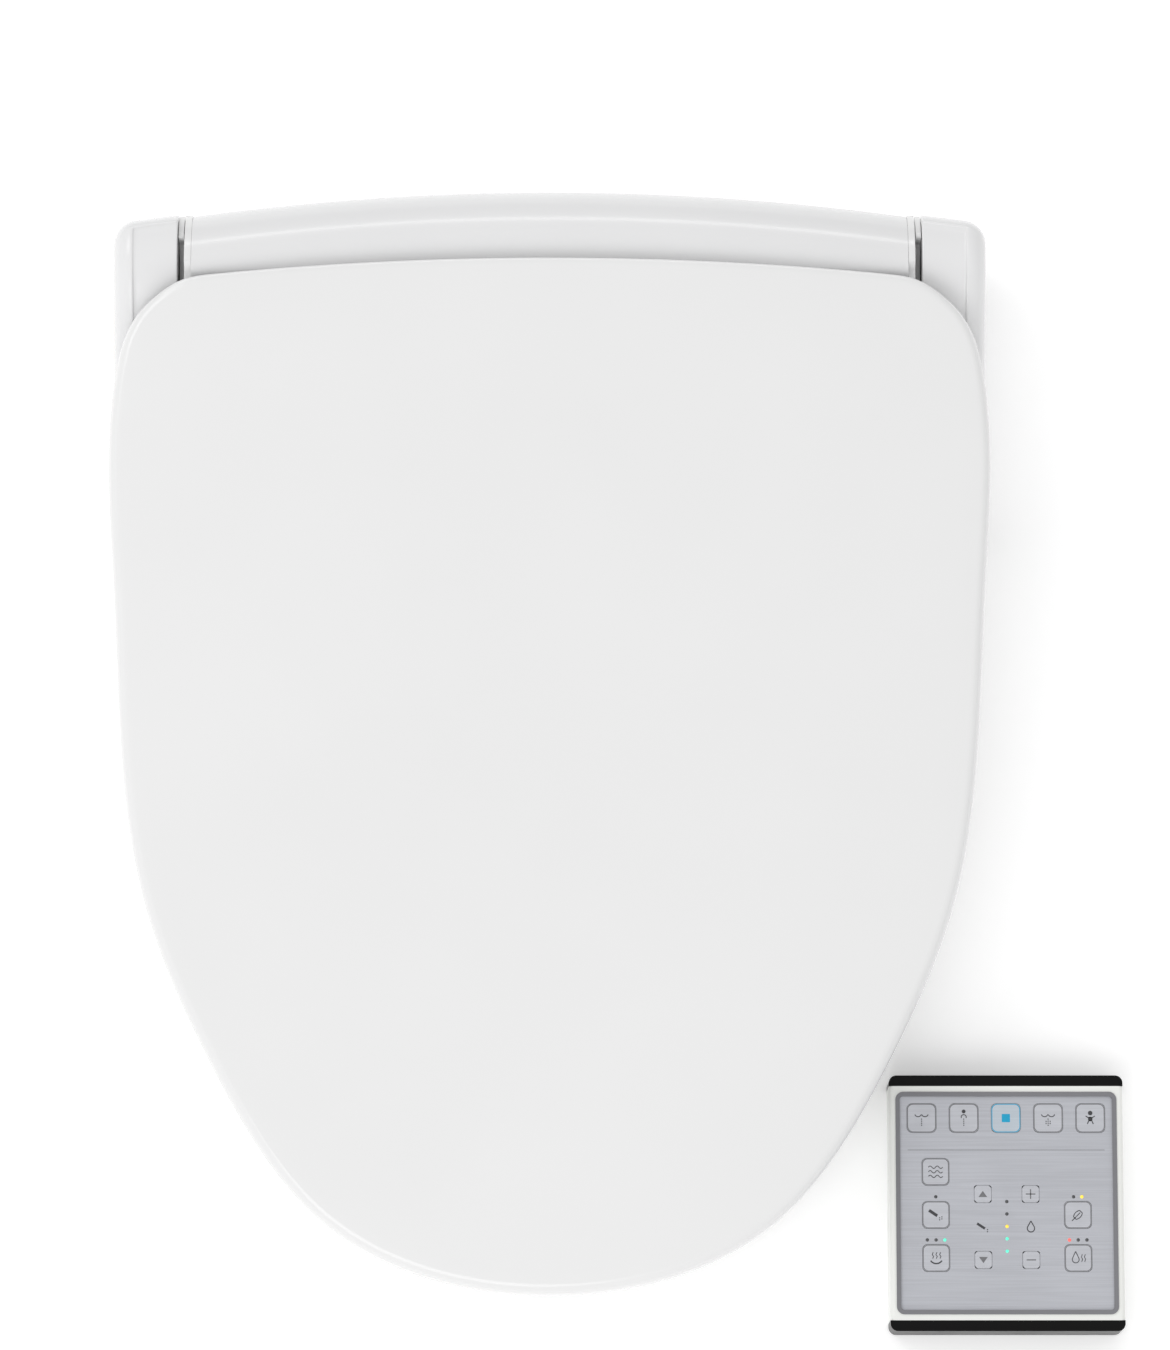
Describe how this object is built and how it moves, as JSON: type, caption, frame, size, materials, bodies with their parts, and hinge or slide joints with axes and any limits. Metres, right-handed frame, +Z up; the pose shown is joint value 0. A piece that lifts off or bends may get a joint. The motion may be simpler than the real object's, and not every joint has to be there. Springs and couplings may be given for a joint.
{
  "type": "electric bidet seat",
  "caption": "Slim electric bidet toilet seat with closed lid, seat ring, hinge housing, sliding spray nozzle and a loose square wireless remote.",
  "frame": {"origin": "midway between the two bowl bolt slots, on the plane where plate, feet and bumpers rest on the bowl", "axes": "+Z up, -Y towards the front of the seat, +X to the right for someone who stands in front of it"},
  "size_m": [0.4416, 0.4958, 0.0986],
  "materials": {
    "shell_white": "high gloss injection-moulded white",
    "base_white": "gloss white",
    "inner_white": "satin white",
    "rubber_grey": "matt",
    "steel": "brushed",
    "brass": "machined",
    "foil": "foil",
    "plastic_black": "fine grain",
    "plastic_blue": "satin",
    "board_green": "solder resist",
    "psu_metal": "satin",
    "tube_clear": "silicone",
    "acetal": "natural acetal",
    "remote_white": "off-white, half gloss",
    "remote_black": "piano black",
    "bezel_grey": "satin grey",
    "face_silver": "brushed sheet",
    "key_silver": "brushed sheet with a printed outline",
    "key_stop_blue": "brushed sheet with a cyan print",
    "lamp": "frosted lens",
    "cell": "printed sleeve"
  },
  "bodies": {
    "base": {"base_tray": "base_white", "base_deck": "base_white", "base_feet": "rubber_grey", "mounting_plate": "inner_white", "hinge_bar_cover": "base_white", "right_pod_cover": "base_white", "left_pod_cover": "base_white", "hinge_pins": "steel", "lid_damper": "plastic_black", "seat_damper": "plastic_black", "casing_screws": "steel", "cord_gland": "plastic_black", "water_inlet_nipple": "brass", "inlet_filter": "tube_clear", "solenoid_valve": "plastic_blue", "water_tubes": "tube_clear", "heater_tank": "acetal", "power_supply": "psu_metal", "control_board": "board_green", "nozzle_motor": "psu_metal", "nozzle_guides": "acetal"},
    "seat": {"seat_top_shell": "shell_white", "seat_bottom_plate": "inner_white", "seat_heater_foil": "foil", "seat_bumpers": "rubber_grey", "seat_hinge_arms": "steel"},
    "lid": {"lid_panel": "shell_white", "lid_hinge_arms": "shell_white", "lid_bumpers": "rubber_grey"},
    "nozzle": {"nozzle_tube": "steel", "nozzle_tip": "inner_white", "nozzle_rack": "acetal"},
    "pinion": {"nozzle_pinion": "acetal"},
    "flap": {"nozzle_flap": "base_white"},
    "release": {"release_button": "inner_white"},
    "remote": {"remote_back": "remote_white", "remote_front": "remote_white", "remote_bands": "remote_black", "remote_bezel": "bezel_grey", "remote_face": "face_silver", "remote_leds": "lamp", "remote_board": "board_green", "remote_key_domes": "steel", "remote_cells": "cell", "remote_cell_contacts": "steel"},
    "battery_door": {"battery_door": "remote_white"},
    "key_rear_wash": {"key_rear_wash": "key_silver"},
    "key_front_wash": {"key_front_wash": "key_silver"},
    "key_stop": {"key_stop": "key_stop_blue"},
    "key_strong_wash": {"key_strong_wash": "key_silver"},
    "key_child_wash": {"key_child_wash": "key_silver"},
    "key_massage": {"key_massage": "key_silver"},
    "key_nozzle_clean": {"key_nozzle_clean": "key_silver"},
    "key_seat_heat": {"key_seat_heat": "key_silver"},
    "key_eco": {"key_eco": "key_silver"},
    "key_water_heat": {"key_water_heat": "key_silver"},
    "key_nozzle_back": {"key_nozzle_back": "key_silver"},
    "key_nozzle_forward": {"key_nozzle_forward": "key_silver"},
    "key_pressure_up": {"key_pressure_up": "key_silver"},
    "key_pressure_down": {"key_pressure_down": "key_silver"}
  },
  "joints": [
    {"name": "seat_hinge", "type": "hinge", "parent": "base", "child": "seat", "pos_m": [0, 0.032, 0.062], "axis": [-1, 0, 0], "range_deg": [0, 100]},
    {"name": "lid_hinge", "type": "hinge", "parent": "seat", "child": "lid", "pos_m": [0, 0.032, 0.062], "axis": [1, 0, 0], "range_deg": [-105, 0]},
    {"name": "nozzle_slide", "type": "slide", "parent": "base", "child": "nozzle", "axis": [0, -0.9848, -0.1736], "range_m": [0, 0.085]},
    {"name": "pinion_spin", "type": "hinge", "parent": "base", "child": "pinion", "pos_m": [0.017, -0.055, 0.02706], "axis": [0, -0.1736, 0.9848], "range_deg": [0, 610]},
    {"name": "flap_hinge", "type": "hinge", "parent": "base", "child": "flap", "pos_m": [0, -0.0782, 0.041], "axis": [-1, 0, 0], "range_deg": [0, 75]},
    {"name": "release_push", "type": "slide", "parent": "base", "child": "release", "axis": [-1, 0, 0], "range_m": [0, 0.003], "stiffness_N_per_m": 400},
    {"name": "remote_lift", "type": "slide", "parent": "base", "child": "remote", "axis": [0, 0, 1], "range_m": [0, 0.12]},
    {"name": "battery_door_slide", "type": "slide", "parent": "remote", "child": "battery_door", "axis": [0, -1, 0], "range_m": [0, 0.004]},
    {"name": "key_rear_wash_press", "type": "slide", "parent": "remote", "child": "key_rear_wash", "axis": [0, 0, -1], "range_m": [0, 0.0006], "stiffness_N_per_m": 800},
    {"name": "key_front_wash_press", "type": "slide", "parent": "remote", "child": "key_front_wash", "axis": [0, 0, -1], "range_m": [0, 0.0006], "stiffness_N_per_m": 800},
    {"name": "key_stop_press", "type": "slide", "parent": "remote", "child": "key_stop", "axis": [0, 0, -1], "range_m": [0, 0.0006], "stiffness_N_per_m": 800},
    {"name": "key_strong_wash_press", "type": "slide", "parent": "remote", "child": "key_strong_wash", "axis": [0, 0, -1], "range_m": [0, 0.0006], "stiffness_N_per_m": 800},
    {"name": "key_child_wash_press", "type": "slide", "parent": "remote", "child": "key_child_wash", "axis": [0, 0, -1], "range_m": [0, 0.0006], "stiffness_N_per_m": 800},
    {"name": "key_massage_press", "type": "slide", "parent": "remote", "child": "key_massage", "axis": [0, 0, -1], "range_m": [0, 0.0006], "stiffness_N_per_m": 800},
    {"name": "key_nozzle_clean_press", "type": "slide", "parent": "remote", "child": "key_nozzle_clean", "axis": [0, 0, -1], "range_m": [0, 0.0006], "stiffness_N_per_m": 800},
    {"name": "key_seat_heat_press", "type": "slide", "parent": "remote", "child": "key_seat_heat", "axis": [0, 0, -1], "range_m": [0, 0.0006], "stiffness_N_per_m": 800},
    {"name": "key_eco_press", "type": "slide", "parent": "remote", "child": "key_eco", "axis": [0, 0, -1], "range_m": [0, 0.0006], "stiffness_N_per_m": 800},
    {"name": "key_water_heat_press", "type": "slide", "parent": "remote", "child": "key_water_heat", "axis": [0, 0, -1], "range_m": [0, 0.0006], "stiffness_N_per_m": 800},
    {"name": "key_nozzle_back_press", "type": "slide", "parent": "remote", "child": "key_nozzle_back", "axis": [0, 0, -1], "range_m": [0, 0.0006], "stiffness_N_per_m": 800},
    {"name": "key_nozzle_forward_press", "type": "slide", "parent": "remote", "child": "key_nozzle_forward", "axis": [0, 0, -1], "range_m": [0, 0.0006], "stiffness_N_per_m": 800},
    {"name": "key_pressure_up_press", "type": "slide", "parent": "remote", "child": "key_pressure_up", "axis": [0, 0, -1], "range_m": [0, 0.0006], "stiffness_N_per_m": 800},
    {"name": "key_pressure_down_press", "type": "slide", "parent": "remote", "child": "key_pressure_down", "axis": [0, 0, -1], "range_m": [0, 0.0006], "stiffness_N_per_m": 800}
  ],
  "couplings": [
    {"joint": "pinion_spin", "follows": "nozzle_slide", "rad_per_m": 125}
  ]
}
